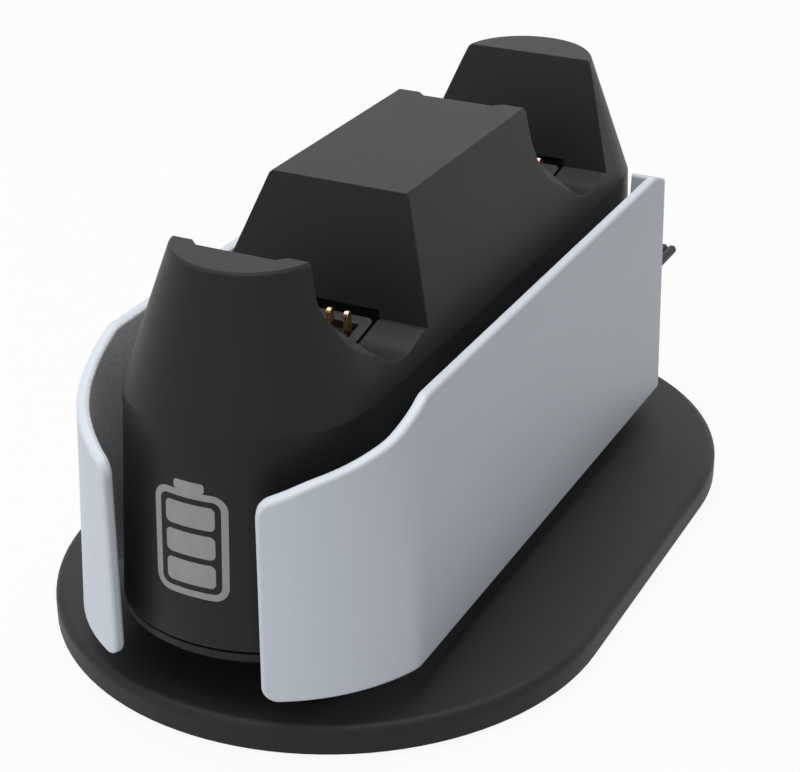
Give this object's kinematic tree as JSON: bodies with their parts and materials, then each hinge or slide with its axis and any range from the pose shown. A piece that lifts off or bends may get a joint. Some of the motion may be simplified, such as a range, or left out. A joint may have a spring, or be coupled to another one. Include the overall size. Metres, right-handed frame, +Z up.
{
  "type": "controller charging dock",
  "caption": "Desk charging dock with saddles for game controllers on a dark tapered body, pale side panels wrapping its front, a stadium base, sprung contacts and a rear USB-C inlet.",
  "frame": {"origin": "centre of the dock's box at the plane that the feet stand on", "axes": "+Z up; +Y along the long axis towards the rear end with the inlet, so the front faces -Y; +X to the right seen from the front"},
  "size_m": [0.1304, 0.204, 0.1015],
  "materials": {
    "base_black": "fine matte, slightly satin",
    "cover_black": "matte",
    "body_black": "fine matte, slightly satin",
    "block_black": "fine matte",
    "hook_black": "satin",
    "panel_satin": "fine-grained satin, cool silver white",
    "gold_contact": "plated, bright",
    "copper_contact": "plated, bright",
    "foot_rubber": "matte",
    "screw_steel": "plain",
    "board_green": "solder mask",
    "chip_black": "moulded",
    "inlet_steel": "stamped",
    "tongue_black": "moulded",
    "lead_sleeve": "sleeve"
  },
  "bodies": {
    "dock": {"base_cover": "cover_black", "base_screws": "screw_steel", "base_shell": "base_black", "body_housing": "body_black", "body_tray": "body_black", "charge_parts": "chip_black", "front_contact_block": "block_black", "front_contact_board": "board_green", "front_contact_screws": "screw_steel", "front_lead": "lead_sleeve", "front_left_foot": "foot_rubber", "front_right_foot": "foot_rubber", "inlet_shell": "inlet_steel", "inlet_tongue": "tongue_black", "left_cable_hook": "hook_black", "left_panel": "panel_satin", "left_panel_screws": "screw_steel", "main_board": "board_green", "main_board_screws": "screw_steel", "plinth_screws": "screw_steel", "rear_contact_block": "block_black", "rear_contact_board": "board_green", "rear_contact_screws": "screw_steel", "rear_lead": "lead_sleeve", "rear_left_foot": "foot_rubber", "rear_right_foot": "foot_rubber", "right_cable_hook": "hook_black", "right_panel": "panel_satin", "right_panel_screws": "screw_steel", "tray_screws": "screw_steel"},
    "front_inner_left_contact_strip": {"front_inner_left_contact": "gold_contact"},
    "front_inner_right_contact_strip": {"front_inner_right_contact": "gold_contact"},
    "front_outer_left_contact_strip": {"front_outer_left_contact": "copper_contact"},
    "front_outer_right_contact_strip": {"front_outer_right_contact": "copper_contact"},
    "rear_inner_left_contact_strip": {"rear_inner_left_contact": "gold_contact"},
    "rear_inner_right_contact_strip": {"rear_inner_right_contact": "gold_contact"},
    "rear_outer_left_contact_strip": {"rear_outer_left_contact": "copper_contact"},
    "rear_outer_right_contact_strip": {"rear_outer_right_contact": "copper_contact"}
  },
  "joints": [
    {"name": "front_inner_left_contact_press", "type": "slide", "parent": "dock", "child": "front_inner_left_contact_strip", "axis": [0, 0, -1], "range_m": [0, 0.0012], "stiffness_N_per_m": 100},
    {"name": "front_inner_right_contact_press", "type": "slide", "parent": "dock", "child": "front_inner_right_contact_strip", "axis": [0, 0, -1], "range_m": [0, 0.0012], "stiffness_N_per_m": 100},
    {"name": "front_outer_left_contact_press", "type": "slide", "parent": "dock", "child": "front_outer_left_contact_strip", "axis": [0, 0, -1], "range_m": [0, 0.0012], "stiffness_N_per_m": 100},
    {"name": "front_outer_right_contact_press", "type": "slide", "parent": "dock", "child": "front_outer_right_contact_strip", "axis": [0, 0, -1], "range_m": [0, 0.0012], "stiffness_N_per_m": 100},
    {"name": "rear_inner_left_contact_press", "type": "slide", "parent": "dock", "child": "rear_inner_left_contact_strip", "axis": [0, 0, -1], "range_m": [0, 0.0012], "stiffness_N_per_m": 100},
    {"name": "rear_inner_right_contact_press", "type": "slide", "parent": "dock", "child": "rear_inner_right_contact_strip", "axis": [0, 0, -1], "range_m": [0, 0.0012], "stiffness_N_per_m": 100},
    {"name": "rear_outer_left_contact_press", "type": "slide", "parent": "dock", "child": "rear_outer_left_contact_strip", "axis": [0, 0, -1], "range_m": [0, 0.0012], "stiffness_N_per_m": 100},
    {"name": "rear_outer_right_contact_press", "type": "slide", "parent": "dock", "child": "rear_outer_right_contact_strip", "axis": [0, 0, -1], "range_m": [0, 0.0012], "stiffness_N_per_m": 100}
  ]
}
